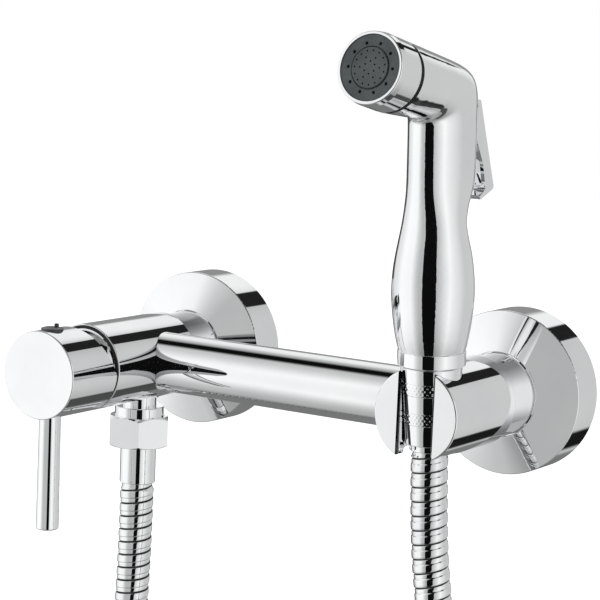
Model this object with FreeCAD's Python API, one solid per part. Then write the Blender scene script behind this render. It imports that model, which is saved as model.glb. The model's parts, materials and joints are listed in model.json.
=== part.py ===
import FreeCAD, Part
import math
import os

from FreeCAD import Placement, Rotation, Vector

# Bidet shower mixer, in millimetres.
# Origin: on the wall plane, midway between the two inlets, at their height.
# X runs along the cross bar, Y into the wall, Z up.
# A leg's own frame has its z axis out from the wall and its y axis up.

# Clearances
seat_gap = 0.3
fit_gap = 0.05
running_gap = 0.1

# Wall connection
inlet_centres = 150.0
wall_thread_d = 20.955
union_thread_d = 26.441
wall_stub_length = 14.0
water_bore_r = 7.5
union_hex_flats = 30.0
union_hex_length = 8.0
union_nose_end = 29.3
washer_thickness = 1.6
strainer_thickness = 0.4
strainer_hole_r = 0.7
strainer_pitch = 2.2
flange_d = 65.0
flange_rim = 16.0
flange_depth = 22.0
flange_wall = 1.5
flange_gap = 0.25
union_nut_d = 32.8
union_nut_back = 12.0
union_nut_lip = 4.5
tail_r = 11.0
tail_collar_r = 12.9
tail_collar = 3.0
tail_screw_length = 7.0

# Legs and cross bar
leg_d = 35.0
leg_back = 39.3
valve_body_front = 91.0
holder_front = 85.2
bar_d = 24.2
bar_wall = 3.0
bar_out = 55.2
bar_socket = 5.5
bar_saddle_r = 13.2
bar_channel_r = 6.0
cold_channel_end = 3.5
holder_channel_r = 5.0

# Cartridge
cartridge_floor = 63.5
cartridge_r = 12.4
chamber_r = 12.5
base_height = 3.0
port_r = 2.2
port_side = 6.5
port_up = 4.0
port_down = 8.6
port_seal_r = 3.6
port_seal_depth = 1.0
disc_height = 3.0
fixed_disc_r = 11.0
moving_disc_r = 8.5
housing_bore_r = 11.2
housing_front = 84.5
housing_lip = 1.3
housing_mouth_r = 8.0
guide_back = 77.6
guide_front = 83.0
pivot_out = 80.0
ball_arm = 5.0
ball_r = 2.2
spindle_neck_r = 1.9
spindle_size = 7.0
spindle_boss_r = 2.6
spindle_end = 115.0
guide_pin_r = 1.25
carrier_front = 77.0
body_thread_r = 14.9
cartridge_nut_front = 90.5
cartridge_nut_bore_r = 10.5
dome_r = 18.8
dome_wall = 1.0
dome_mouth_angle = 40.5
gap_ring_inner_r = 15.7
gap_ring_outer_r = 17.0
gap_ring_back = 90.0
gap_ring_front = 91.3

# Handle
hub_d = 35.0
hub_back = 92.0
hub_front = 119.8
lift_range = 25.0
lever_out = 112.0
lever_r = 4.25
lever_tip_r = 4.5
lever_tip = 62.5
lever_sink = 0.5
lever_screw_r = 3.0
lever_screw_top = 9.0
grub_r = 2.5
index_r = 4.4
index_height = 4.2
index_stand = 0.9
index_space = 4.7
index_nub_r = 0.9
index_nub_height = 1.2
index_nub_back = 2.6

# Outlet under the valve body
outlet_out = 54.0
outlet_bore_r = 5.0
outlet_bore_top = 8.5
nipple_screw_r = 8.0
nipple_top = 12.5
nipple_neck_r = 7.0
nipple_collar_r = 10.2
nipple_collar_top = 20.2
nipple_collar_bottom = 24.0
nipple_end = 31.0
hose_nut_flats = 24.0
hose_nut_top = 24.2
hose_nut_bottom = 36.9
hose_washer = 2.0
hose_nut_turn = 53.0
tail_flange = 1.7
tail_flange_r = 9.9
ferrule_r = 7.4
ferrule_end = 52.7
barb_r = 4.6
barb_bore_r = 3.4
barb_reach = 11.0

# Hose
hose_d = 14.0
hose_root_d = 12.7
hose_bore_r = 4.7
rib_pitch = 5.2
rib_crest = 3.4
rib_slope = 0.35
hose_cuff = 2.0

# Holder seat, its axis leaning forward
seat_out = 73.8
seat_tilt = 3.3
slot_width = 15.5
cone_top = 17.7
cone_bottom = -11.5
cone_top_r = 11.5
cone_bottom_r = 9.75
knurl_height = 4.4
knurl_levels = (9.8, -1.3)
knurl_count = 40
knurl_r = 0.35
spray_thread_end = 9.5
cone_washer_r = 9.0
cone_flange_top = 7.6
cone_ferrule_r = 7.6
cone_ferrule_end = -14.3

# Hand spray, in the frame of the seat axis: y back, z up along the grip
collar_r = 12.7
collar_bottom = 18.0
collar_top = 23.6
fitting_screw_r = 9.0
fitting_bore_r = 5.5
fitting_top = 33.0
shell_wall = 2.2
shell_floor = 2.8
grip_front = 11.6
grip_back = 20.25
grip_top_back = 20.8
bed_back = 14.8
bed_half_width = 8.2
bed_bottom = 76.0
bed_top = 117.5
# Sections of the grip: height, half width, reach to the front, reach to the back
grip_sections = (
    (23.6, 12.4, 12.4, 12.4),
    (27.0, 13.3, 13.3, 13.3),
    (35.0, 14.6, 14.6, 14.6),
    (46.0, 15.3, 15.3, 15.3),
    (54.0, 14.8, 14.8, 14.8),
    (61.5, 13.6, 13.6, 13.6),
    (70.5, 11.9, 11.9, 11.9),
    (77.0, 11.3, grip_front, 14.5),
    (84.0, 11.2, grip_front, 19.0),
    (91.0, 11.2, grip_front, grip_back),
    (99.0, 11.2, grip_front, grip_top_back),
)
oval_points = 16
elbow_steps = 8
elbow_corner = 8.0
elbow_gap = 3.0
elbow_half_width = 12.3
neck_lift = 2.0
head_r = 13.2
head_rise = 14.6
head_y = -25.1
head_z = 124.1
shell_end = 7.3
joint_ring_r = 12.6
joint_ring = 1.9
nose_back = 3.0
nose_front = 13.0
barrel_front = 22.4
barrel_front_r = 12.8
barrel_wall = 1.2
barrel_lip_r = 11.8
plate_r = 11.7
plate_back = 19.0
plate_front = 22.0
plate_disc_r = 7.1
plate_disc_rise = 0.5
plate_groove = 0.55
plate_groove_depth = 0.6
flow_plate_back = 17.0
flow_plate_front = 18.6
large_hole_r = 0.62
small_hole_r = 0.34
# Rings of jets: radius, first angle, hole radius
jet_counts = (10, 15, 6, 6)
jet_rings = (
    (8.9, 18.0, large_hole_r),
    (6.0, 6.0, small_hole_r),
    (3.9, 30.0, small_hole_r),
    (2.2, 0.0, small_hole_r),
)

# Trigger and its valve, in the same frame
hinge_y = 16.6
hinge_z = 112.5
hinge_pin_r = 0.8
lug_r = 1.6
trigger_width = 15.0
trigger_flank = 1.5
trigger_plate = 1.3
trigger_top = (19.5, 114.6)
trigger_tip = (31.1, 80.9)
valve_z = 92.0
valve_front = -9.0
valve_back = 12.0
valve_r = 5.6
valve_bore_r = 4.3
valve_end_wall = 1.1
duct_y = 5.4
spool_front = -2.6
spool_land = 5.2
spool_rear_land = 9.0
spool_end = 11.2
spool_waist_r = 2.4
stem_r = 1.8
stem_tip = 25.3
seal_width = 1.2
gland_r = 5.0
gland_back = 15.8
spring_wire_r = 0.3
spring_r = 3.4
spring_turns = 3
water_tube_r = 3.2
water_tube_bore_r = 2.2
duct_r = 3.6
duct_bore_r = 2.6
duct_bend_r = 10.0
valve_stub_r = 4.6
valve_stub_reach = 8.6
valve_socket_reach = 6.2

left_x = -inlet_centres / 2
right_x = inlet_centres / 2
leg_r = leg_d / 2
bar_r = bar_d / 2
hub_r = hub_d / 2
lever_seat = hub_r - lever_sink
index_top = hub_r + index_stand
index_floor = index_top - index_height
grub_top = index_floor - index_space
wall_thread_r = wall_thread_d / 2
union_thread_r = union_thread_d / 2
sides = {"left": left_x, "right": right_x}


def placed(shape, x=0.0, y=0.0, z=0.0, turn=0.0):
    """The shape turned about X by a number of degrees, then moved."""
    shape = shape.copy()
    shape.Placement = Placement(Vector(x, y, z), Rotation(Vector(1, 0, 0), turn)).multiply(shape.Placement)
    return shape


def on_leg(shape, x):
    """From a leg's frame, z out from the wall and y up, to the part's frame."""
    return placed(shape, x=x, turn=90)


def below_outlet(shape):
    """From the outlet's frame, z down from the leg's axis, to the part's frame."""
    return placed(shape, x=left_x, y=-outlet_out, turn=180)


def on_seat(shape):
    """From the seat's frame, z up along the hand spray, to the part's frame."""
    return placed(shape, x=right_x, y=-seat_out, turn=seat_tilt)


def on_head(shape):
    """From the head's frame, z out through the spray plate, to the seat's frame."""
    return placed(shape, y=head_y, z=head_z, turn=90 - head_rise)


def on_valve(shape):
    """From the trigger valve's frame, z towards the trigger, to the seat's frame."""
    return placed(shape, z=valve_z, turn=-90)


def outline(points):
    """Closed wire in the XZ plane through (x, z) or (x, z, corner radius) points."""
    corners = []
    for i, point in enumerate(points):
        here = Vector(point[0], 0, point[1])
        if len(point) == 2:
            corners.append((here, None, here))
            continue
        before = points[i - 1]
        after = points[(i + 1) % len(points)]
        back = (Vector(before[0], 0, before[1]) - here).normalize()
        on = (Vector(after[0], 0, after[1]) - here).normalize()
        half = back.getAngle(on) / 2
        reach = point[2] / math.tan(half)
        inward = (back + on).normalize()
        middle = here + inward * (point[2] / math.sin(half) - point[2])
        corners.append((here + back * reach, middle, here + on * reach))
    edges = []
    for i, (start, middle, end) in enumerate(corners):
        following = corners[(i + 1) % len(corners)][0]
        if middle:
            edges.append(Part.Arc(start, middle, end).toShape())
        if (following - end).Length > 1e-6:
            edges.append(Part.makeLine(end, following))
    return Part.Wire(edges)


def turned(points):
    """Solid of revolution about Z of an outline of (radius, z) points."""
    return Part.Face(outline(points)).revolve(Vector(0, 0, 0), Vector(0, 0, 1), 360)


def ring(inner, outer, low, high, edge=0.0):
    """Ring about Z, with its two outer corners rounded when an edge radius is given."""
    corner = (edge,) if edge else ()
    return turned([(inner, low), (outer, low) + corner, (outer, high) + corner, (inner, high)])


def rod(radius, low, high, x=0.0, y=0.0):
    """Cylinder along Z."""
    return Part.makeCylinder(radius, high - low, Vector(x, y, low))


def cross_rod(radius, low, high, y=0.0, z=0.0):
    """Cylinder along X."""
    return Part.makeCylinder(radius, high - low, Vector(low, y, z), Vector(1, 0, 0))


def block(x_low, x_high, y_low, y_high, z_low, z_high):
    """Box between two corners."""
    return Part.makeBox(x_high - x_low, y_high - y_low, z_high - z_low, Vector(x_low, y_low, z_low))


def hexagon(flats, low, high):
    """Hexagonal prism about Z with a corner on the X axis, its ends bevelled as on a nut."""
    corner_r = flats / math.sqrt(3)
    corners = [Vector(corner_r * math.cos(math.radians(60 * i)), corner_r * math.sin(math.radians(60 * i)), low)
               for i in range(7)]
    prism = Part.Face(Part.makePolygon(corners)).extrude(Vector(0, 0, high - low))
    bevel_r = flats / 2 * 0.98
    bevel = (corner_r - bevel_r) * math.tan(math.radians(30))
    cone = turned([(0, low), (bevel_r, low), (corner_r, low + bevel),
                   (corner_r, high - bevel), (bevel_r, high), (0, high)])
    return prism.common(cone)


def hole_grid(radius, pitch, reach, low, high):
    """Small holes on a hexagonal grid within a circle."""
    holes = []
    rows = int(reach / (pitch * math.sqrt(3) / 2))
    for row in range(-rows, rows + 1):
        y = row * pitch * math.sqrt(3) / 2
        columns = int(reach / pitch)
        for column in range(-columns, columns + 1):
            x = (column + 0.5 * (row % 2)) * pitch
            if math.hypot(x, y) <= reach:
                holes.append(rod(radius, low, high, x, y))
    return Part.Compound(holes)


def inlet_union():
    """Straight union: pipe thread into the wall, hexagon, and a nose for the round nut."""
    shaft = turned([(water_bore_r, -wall_stub_length), (wall_thread_r, -wall_stub_length, 1.0),
                    (wall_thread_r, 0.5), (union_thread_r, 0.5), (union_thread_r, union_nose_end, 1.0),
                    (water_bore_r, union_nose_end)])
    collar = hexagon(union_hex_flats, 0.5, union_hex_length)
    return shaft.fuse(collar.cut(rod(water_bore_r + 1, -1, union_hex_length + 1))).removeSplitter()


def wall_flange():
    """Round cup against the wall with a shallow conical front."""
    outer_r = flange_d / 2
    hole_r = union_nut_d / 2 + flange_gap
    inner_rim = flange_rim - flange_wall * 0.5
    return turned([(outer_r - flange_wall, 0), (outer_r, 0), (outer_r, flange_rim, 0.5),
                   (hole_r, flange_depth, 0.4), (hole_r, flange_depth - flange_wall),
                   (outer_r - flange_wall, inner_rim)])


def union_nut():
    """Smooth round nut that draws the tail's collar against the union's nose."""
    outer_r = union_nut_d / 2
    front = leg_back - seat_gap
    lip_back = union_nose_end + washer_thickness + strainer_thickness + tail_collar + seat_gap
    return turned([(union_thread_r + fit_gap, union_nut_back), (outer_r, union_nut_back, 0.5),
                   (outer_r, front, 0.5), (tail_r + running_gap, front),
                   (tail_r + running_gap, lip_back), (union_thread_r + fit_gap, lip_back)])


def union_washer():
    """Flat rubber washer on the nose of the union."""
    return ring(water_bore_r + 0.5, tail_collar_r - 0.4, union_nose_end, union_nose_end + washer_thickness)


def strainer():
    """Pierced steel disc between the washer and the tail."""
    low = union_nose_end + washer_thickness
    high = low + strainer_thickness
    holes = hole_grid(strainer_hole_r, strainer_pitch, water_bore_r - 1, low - 1, high + 1)
    return rod(tail_collar_r - 0.4, low, high).cut(holes)


def inlet_tail():
    """Collared tube screwed into the back of a leg."""
    collar_back = union_nose_end + washer_thickness + strainer_thickness
    screw_r = wall_thread_r - 0.5
    return turned([(water_bore_r, collar_back), (tail_collar_r, collar_back),
                   (tail_collar_r, collar_back + tail_collar), (tail_r, collar_back + tail_collar),
                   (tail_r, leg_back), (screw_r, leg_back), (screw_r, leg_back + tail_screw_length),
                   (water_bore_r, leg_back + tail_screw_length)])


def tail_socket():
    """The threaded hole for the tail, in a leg's frame."""
    return rod(wall_thread_r - 0.5 + fit_gap, leg_back - 1, leg_back + tail_screw_length + fit_gap)


def bar_hole(side):
    """Socket for the cross bar in a leg's frame; side is +1 where the bar leaves towards +X."""
    start = leg_r - bar_socket
    if side > 0:
        socket = cross_rod(bar_r + fit_gap, start, leg_r + 1, 0, bar_out)
        return socket.cut(rod(bar_saddle_r, cartridge_floor - 1, valve_body_front))
    return cross_rod(bar_r + fit_gap, -leg_r - 1, -start, 0, bar_out)


def valve_body():
    """Left leg: cartridge chamber in front, three water ways, outlet hole underneath."""
    body = turned([(0, leg_back), (leg_r, leg_back, 0.6), (leg_r, valve_body_front, 0.4), (0, valve_body_front)])
    tail_end = leg_back + tail_screw_length
    cuts = [tail_socket(),
            rod(chamber_r, cartridge_floor, valve_body_front + 1),
            rod(body_thread_r + fit_gap, housing_front - 0.5, valve_body_front + 1),
            ring(gap_ring_inner_r, gap_ring_outer_r, gap_ring_back, valve_body_front + 1),
            bar_hole(1),
            cross_rod(bar_channel_r, cold_channel_end, leg_r, 0, bar_out),
            rod(port_r, tail_end - 1, cartridge_floor + 1, -port_side, port_up),
            rod(port_r, bar_out, cartridge_floor + 1, port_side, port_up),
            rod(port_r, outlet_out, cartridge_floor + 1, 0, -port_down)]
    outlet = rod(nipple_screw_r + fit_gap, nipple_top, leg_r + 2).fuse(rod(outlet_bore_r, outlet_bore_top, leg_r + 2))
    cuts.append(placed(outlet, z=outlet_out, turn=90))
    return body.cut(cuts)


def holder_leg():
    """Right leg: water way from the wall to the bar, tapered seat and front slot for the hand spray."""
    body = turned([(0, leg_back), (leg_r, leg_back, 0.6), (leg_r, holder_front, 0.6), (0, holder_front)])
    tail_end = leg_back + tail_screw_length
    body = body.cut([tail_socket(), bar_hole(-1),
                     rod(holder_channel_r, tail_end - 1, bar_out + holder_channel_r - 1),
                     cross_rod(holder_channel_r, -leg_r, 0, 0, bar_out)])
    seat = turned([(0, -2 * leg_r), (cone_r(-2 * leg_r) + seat_gap, -2 * leg_r),
                   (cone_r(2 * leg_r) + seat_gap, 2 * leg_r), (0, 2 * leg_r)])
    slot = block(-slot_width / 2, slot_width / 2, -leg_r - 1, leg_r + 1, seat_out, holder_front + 1)
    return body.cut([placed(seat, z=seat_out, turn=seat_tilt - 90), slot])


def cone_r(height):
    """Radius of the cone nut at a height on the seat's axis."""
    slope = (cone_top_r - cone_bottom_r) / (cone_top - cone_bottom)
    return cone_bottom_r + (height - cone_bottom) * slope


def cross_bar():
    """Tube between the two legs that carries cold water to the cartridge."""
    reach = inlet_centres / 2 - (leg_r - bar_socket)
    tube = cross_rod(bar_r, -reach, reach).cut(cross_rod(bar_r - bar_wall, -reach - 1, reach + 1))
    chamber = rod(bar_saddle_r + fit_gap, cartridge_floor - 1 - fit_gap, valve_body_front)
    return placed(tube, y=-bar_out).cut(on_leg(chamber, left_x))


def port_places():
    """Centres of the three ports in a leg's frame."""
    return ((-port_side, port_up), (port_side, port_up), (0, -port_down))


def cartridge_base():
    """Plastic foot of the cartridge, with a counterbore for a seal round each port."""
    base = rod(cartridge_r, cartridge_floor, cartridge_floor + base_height)
    for x, y in port_places():
        base = base.cut(rod(port_r, cartridge_floor - 1, cartridge_floor + base_height + 1, x, y))
        base = base.cut(rod(port_seal_r, cartridge_floor - 1, cartridge_floor + port_seal_depth, x, y))
    return base


def port_seals():
    """Three rubber seals between the base and the chamber floor."""
    seals = []
    for x, y in port_places():
        seal = ring(port_r + 0.2, port_seal_r - fit_gap, cartridge_floor, cartridge_floor + port_seal_depth)
        seals.append(placed(seal, x=x, y=y))
    return Part.Compound(seals)


def fixed_disc():
    """Ceramic disc with the three ports."""
    low = cartridge_floor + base_height
    disc = rod(fixed_disc_r, low, low + disc_height)
    for x, y in port_places():
        disc = disc.cut(rod(port_r, low - 1, low + disc_height + 1, x, y))
    return disc


def moving_disc():
    """Ceramic disc that slides over the ports, with its mixing pocket."""
    low = cartridge_floor + base_height + disc_height + fit_gap
    high = low + disc_height - 2 * fit_gap
    pocket = block(-5.0, 5.0, -1.5, 5.0, low - 1, low + 1.4)
    return rod(moving_disc_r, low, high).cut(pocket)


def disc_carrier():
    """Plastic carrier on the moving disc, with the socket for the spindle's ball."""
    low = cartridge_floor + base_height + 2 * disc_height - fit_gap
    ball_out = pivot_out - ball_arm
    bore_r = ball_r + 0.25
    socket = turned([(0, low + 0.2), (bore_r, low + 0.2), (bore_r, ball_out + 0.6),
                     (bore_r + 1.2, carrier_front + 0.1), (0, carrier_front + 0.1)])
    return rod(moving_disc_r, low, carrier_front).cut(socket)


def cartridge_housing():
    """Plastic shell round the discs and the guide."""
    low = cartridge_floor + base_height
    return turned([(housing_bore_r, low), (cartridge_r, low), (cartridge_r, housing_front),
                   (housing_mouth_r, housing_front), (housing_mouth_r, housing_front - housing_lip),
                   (housing_bore_r, housing_front - housing_lip)])


def rotating_guide():
    """Guide that turns in the housing and holds the spindle's pin."""
    guide_r = housing_bore_r - running_gap
    guide = rod(guide_r, guide_back, guide_front)
    half = spindle_size / 2
    slot = block(-half - 0.15, half + 0.15, -half - 2.1, half + 2.1, guide_back - 1, guide_front + 1)
    return guide.cut([slot, cross_rod(guide_pin_r, -guide_r - 1, guide_r + 1, 0, pivot_out)])


def guide_pin():
    """Pin that the spindle tilts on."""
    reach = housing_bore_r - 3 * running_gap
    return cross_rod(guide_pin_r - 0.02, -reach, reach, 0, pivot_out)


def spindle():
    """Square lever through the pivot pin, with a ball that moves the disc."""
    half = spindle_size / 2
    ball_out = pivot_out - ball_arm
    ball = Part.makeSphere(ball_r, Vector(0, 0, ball_out))
    neck = rod(spindle_neck_r, ball_out, pivot_out)
    boss = cross_rod(spindle_boss_r, -half, half, 0, pivot_out)
    bar = block(-half, half, -half, half, pivot_out, spindle_end)
    body = ball.fuse([neck, boss, bar])
    return body.cut(cross_rod(guide_pin_r + fit_gap, -half - 1, half + 1, 0, pivot_out)).removeSplitter()


def cartridge_nut():
    """Threaded ring that holds the cartridge down."""
    return ring(cartridge_nut_bore_r, body_thread_r, housing_front, cartridge_nut_front, 0.4)


def dome_cap():
    """Chrome spherical cap between the body and the hub, centred on the lever's pivot."""
    mouth = math.radians(dome_mouth_angle)
    base = math.asin(body_thread_r / dome_r)
    inner_r = dome_r - dome_wall
    inner_base = math.acos((cartridge_nut_front - pivot_out) / inner_r)

    def at(radius, angle):
        return Vector(radius * math.sin(angle), 0, pivot_out + radius * math.cos(angle))

    low_outer = Vector(body_thread_r, 0, cartridge_nut_front)
    points = [at(dome_r, base), at(dome_r, (base + mouth) / 2), at(dome_r, mouth),
              at(inner_r, mouth), at(inner_r, (inner_base + mouth) / 2), at(inner_r, inner_base)]
    wire = Part.Wire([Part.makeLine(low_outer, points[0]),
                      Part.Arc(points[0], points[1], points[2]).toShape(),
                      Part.makeLine(points[2], points[3]),
                      Part.Arc(points[3], points[4], points[5]).toShape(),
                      Part.makeLine(points[5], low_outer)])
    return Part.Face(wire).revolve(Vector(0, 0, 0), Vector(0, 0, 1), 360)


def gap_ring():
    """Black ring in the front of the body, facing the hub."""
    return ring(gap_ring_inner_r, gap_ring_outer_r, gap_ring_back, gap_ring_front)


def handle_hub():
    """Round handle: spherical hollow over the dome, and a relief at the top back for the lift."""
    hub = turned([(0, hub_back), (hub_r, hub_back, 0.4), (hub_r, hub_front, 0.5), (0, hub_front)])
    hollow = Part.makeSphere(dome_r + 0.4, Vector(0, 0, pivot_out))
    half = spindle_size / 2 + fit_gap
    socket = block(-half, half, -half, half, pivot_out, spindle_end + 0.2)
    relief = block(-hub_d, hub_d, -2 * hub_d, 2 * hub_d, -hub_d, gap_ring_front - pivot_out + 0.4)
    relief = placed(relief, z=pivot_out, turn=lift_range)
    screw_y = Vector(0, 1, 0)
    lever_hole = Part.makeCylinder(lever_screw_r, hub_r, Vector(0, -lever_screw_top, lever_out), -screw_y)
    lever_bed = Part.makeCylinder(lever_r + fit_gap, hub_r, Vector(0, -lever_seat, lever_out), -screw_y)
    grub_hole = Part.makeCylinder(grub_r + fit_gap, hub_r, Vector(0, 0, lever_out), screw_y)
    index_hole = Part.makeCylinder(index_r + fit_gap, hub_r, Vector(0, index_floor, lever_out), screw_y)
    return hub.cut([hollow, socket, relief, lever_hole, lever_bed, grub_hole, index_hole])


def standing_on_hub(shape):
    """From a frame with z up on the lever's axis to a leg's frame."""
    return placed(shape, z=lever_out, turn=-90)


def lever_rod():
    """Round lever screwed into the underside of the hub."""
    bar = turned([(0, -lever_tip), (lever_tip_r, -lever_tip, 0.7), (lever_r, -hub_r - 1.0),
                  (lever_r, -lever_seat), (lever_screw_r, -lever_seat), (lever_screw_r, -lever_screw_top), (0, -lever_screw_top)])
    return standing_on_hub(bar)


def grub_screw():
    """Screw that clamps the hub on the spindle, with its hexagonal socket."""
    low = spindle_size / 2 + fit_gap
    key = hexagon(2.5, grub_top - 2.5, grub_top + 1)
    return standing_on_hub(rod(grub_r, low, grub_top).cut(key))


def index_plug():
    """Round plug over the grub screw, with a small raised nub."""
    cap = turned([(0, index_floor), (index_r, index_floor), (index_r, index_top - 0.4, 0.3),
                  (index_r - 1.4, index_top), (0, index_top)])
    nub = turned([(0, index_top - 0.5), (index_nub_r, index_top - 0.5),
                  (index_nub_r, index_top + index_nub_height, 0.4), (0, index_top + index_nub_height)])
    nub = placed(nub, y=index_nub_back)
    return standing_on_hub(cap.fuse(nub).removeSplitter())


def outlet_nipple():
    """Threaded outlet under the valve body."""
    shoulder = leg_r - 1.3
    return turned([(outlet_bore_r, nipple_top), (nipple_screw_r, nipple_top), (nipple_screw_r, shoulder),
                   (nipple_neck_r, shoulder), (nipple_neck_r, nipple_collar_top),
                   (nipple_collar_r, nipple_collar_top, 0.4), (nipple_collar_r, nipple_collar_bottom),
                   (wall_thread_r, nipple_collar_bottom), (wall_thread_r, nipple_end, 0.6),
                   (outlet_bore_r, nipple_end)])


def hose_nut():
    """Hexagon nut on the outlet, a corner turned to the front right."""
    nut = hexagon(hose_nut_flats, hose_nut_top, hose_nut_bottom)
    lip_top = nipple_end + hose_washer + tail_flange + 0.2
    nut = nut.cut([rod(wall_thread_r + fit_gap, hose_nut_top - 1, lip_top),
                   rod(ferrule_r + running_gap, lip_top - 1, hose_nut_bottom + 1)])
    nut.rotate(Vector(0, 0, 0), Vector(0, 0, 1), hose_nut_turn)
    return nut


def outlet_washer():
    """Flat washer between the nipple and the hose tail."""
    return ring(outlet_bore_r + 0.5, tail_flange_r, nipple_end, nipple_end + hose_washer)


def barbed_tail(flange_r, flange_start, flange_end, hose_start):
    """Hose tail: a flange and a barbed tube that runs into the hose."""
    points = [(barb_bore_r, flange_start), (flange_r, flange_start), (flange_r, flange_end)]
    barb_end = hose_start + barb_reach
    barb_pitch = barb_reach / 3
    points.append((barb_r, flange_end))
    for i in range(3):
        foot = hose_start + i * barb_pitch
        points += [(barb_r, foot), (barb_r - 0.4, foot)]
    points += [(barb_r - 0.4, barb_end), (barb_bore_r, barb_end)]
    return turned(points)


def hose_route():
    """Corner points of the hose from the outlet's ferrule down, round and up to the cone nut."""
    lean = math.radians(seat_tilt)
    end = Vector(right_x, -seat_out - cone_ferrule_end * math.sin(lean), cone_ferrule_end * math.cos(lean))
    below_end = 32.0
    return [
        Vector(left_x, -outlet_out, -ferrule_end),
        Vector(left_x, -outlet_out, -90.0),
        Vector(-78.0, -55.5, -152.0),
        Vector(-86.0, -58.0, -242.0),
        Vector(-92.0, -60.5, -335.0),
        Vector(-84.0, -62.0, -402.0),
        Vector(-47.0, -63.5, -443.0),
        Vector(6.0, -64.5, -455.0),
        Vector(58.0, -65.0, -437.0),
        Vector(89.0, -65.5, -391.0),
        Vector(96.5, -66.0, -318.0),
        Vector(93.0, -66.5, -222.0),
        Vector(85.4, -67.5, -130.0),
        Vector(78.4, -69.5, -76.0),
        end + Vector(0, math.sin(lean), -math.cos(lean)) * below_end,
        end,
    ]


def hose_pieces(points):
    """Straight runs joined by tangent arcs, as (start, tangent, length, radius, inward) pieces."""
    pieces = []
    radii = []
    here = points[0]
    for i in range(1, len(points) - 1):
        corner = points[i]
        back = points[i - 1] - corner
        on = points[i + 1] - corner
        turn = math.pi - back.getAngle(on)
        radius = 0.45 * min(back.Length, on.Length) / math.tan(turn / 2)
        radii.append(radius)
        reach = radius * math.tan(turn / 2)
        start = corner + Vector(back).normalize() * reach
        end = corner + Vector(on).normalize() * reach
        tangent = (start - here).normalize()
        inward = (end - start).cross(tangent)
        inward = tangent.cross(inward).normalize()
        pieces.append((here, tangent, (start - here).Length, 0.0, inward))
        pieces.append((start, tangent, radius * turn, radius, inward))
        here = end
    tangent = (points[-1] - here).normalize()
    pieces.append((here, tangent, (points[-1] - here).Length, 0.0, Vector(0, 1, 0)))
    return pieces, radii


def on_hose(pieces, distance):
    """Centre and tangent at a distance along the hose."""
    for start, tangent, length, radius, inward in pieces:
        if distance <= length or pieces[-1][0] == start:
            break
        distance -= length
    if not radius:
        return start + tangent * distance, tangent
    angle = distance / radius
    centre = start + inward * radius
    point = centre - inward * radius * math.cos(angle) + tangent * radius * math.sin(angle)
    return point, tangent * math.cos(angle) + inward * math.sin(angle)


def circle_at(centre, tangent, side, radius):
    """Circle across the hose whose seam stays on one side."""
    edge = Part.makeCircle(radius)
    edge.Placement = Placement(centre, Rotation(side, Vector(), tangent, "ZXY"))
    return Part.Wire(edge)


def hose_loft(pieces, stations):
    """Ruled solid through circles at (distance, radius) stations."""
    side = Vector(0, 1, 0)
    wires = []
    for distance, radius in stations:
        centre, tangent = on_hose(pieces, distance)
        side = (side - tangent * side.dot(tangent)).normalize()
        wires.append(circle_at(centre, tangent, side, radius))
    return Part.makeLoft(wires, True, True)


def shower_hose():
    """Ribbed metal hose with its bore, following the route."""
    pieces, radii = hose_pieces(hose_route())
    total = sum(piece[2] for piece in pieces)
    ribs = int((total - 2 * hose_cuff) / rib_pitch)
    first = (total - ribs * rib_pitch) / 2
    crest_r = hose_d / 2
    root_r = hose_root_d / 2
    stations = [(0.0, root_r)]
    for i in range(ribs):
        foot = first + i * rib_pitch
        stations += [(foot, root_r), (foot + rib_slope, crest_r), (foot + rib_slope + rib_crest, crest_r),
                     (foot + 2 * rib_slope + rib_crest, root_r)]
    stations.append((total, root_r))
    outside = hose_loft(pieces, stations)
    bore_steps = 120
    bore = hose_loft(pieces, [(total * i / bore_steps, hose_bore_r) for i in range(bore_steps + 1)])
    print("hose length", round(total, 1), "ribs", ribs, "radii", [round(r) for r in radii])
    crest_share = (rib_crest + rib_slope) / rib_pitch
    section = math.pi * (crest_share * crest_r ** 2 + (1 - crest_share) * root_r ** 2 - hose_bore_r ** 2)
    hose = outside.cut(bore)
    print("hose volume", round(hose.Volume), "section times length", round(section * total))
    return hose


def cone_nut():
    """Conical nut that stands in the seat, with two knurled bands."""
    thread_r = wall_thread_r + fit_gap
    flange_room = cone_washer_r + running_gap
    lip_top = cone_flange_top - tail_flange - 0.2
    nut = turned([(cone_ferrule_r + running_gap, cone_bottom), (cone_bottom_r, cone_bottom, 0.4),
                  (cone_top_r, cone_top, 0.4), (thread_r, cone_top), (thread_r, spray_thread_end),
                  (flange_room, spray_thread_end), (flange_room, lip_top),
                  (cone_ferrule_r + running_gap, lip_top)])
    grooves = []
    lean = math.degrees(math.atan((cone_top_r - cone_bottom_r) / (cone_top - cone_bottom)))
    for level in knurl_levels:
        for i in range(knurl_count):
            groove = rod(knurl_r, -knurl_height / 2, knurl_height / 2)
            groove.rotate(Vector(0, 0, 0), Vector(0, 1, 0), lean)
            groove.translate(Vector(cone_r(level) + 0.1, 0, level))
            groove.rotate(Vector(0, 0, 0), Vector(0, 0, 1), 360 * i / knurl_count)
            grooves.append(groove)
    return nut.cut(Part.Compound(grooves))


def cone_washer():
    """Washer between the hand spray's thread and the hose tail."""
    return ring(outlet_bore_r + 0.5, cone_washer_r, cone_flange_top, spray_thread_end)


def cone_tail():
    """Hose tail inside the cone nut, its barb pointing down into the hose."""
    tail = barbed_tail(cone_washer_r, -cone_flange_top, -cone_flange_top + tail_flange, -cone_ferrule_end)
    return placed(tail, turn=180)


def cone_ferrule():
    """Ferrule on the hose's upper end, with a small ring showing under the cone nut."""
    high = cone_flange_top - tail_flange
    return turned([(barb_r + fit_gap, cone_ferrule_end), (cone_ferrule_r, cone_ferrule_end, 0.4),
                   (cone_ferrule_r, high), (barb_r + fit_gap, high)])


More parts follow.
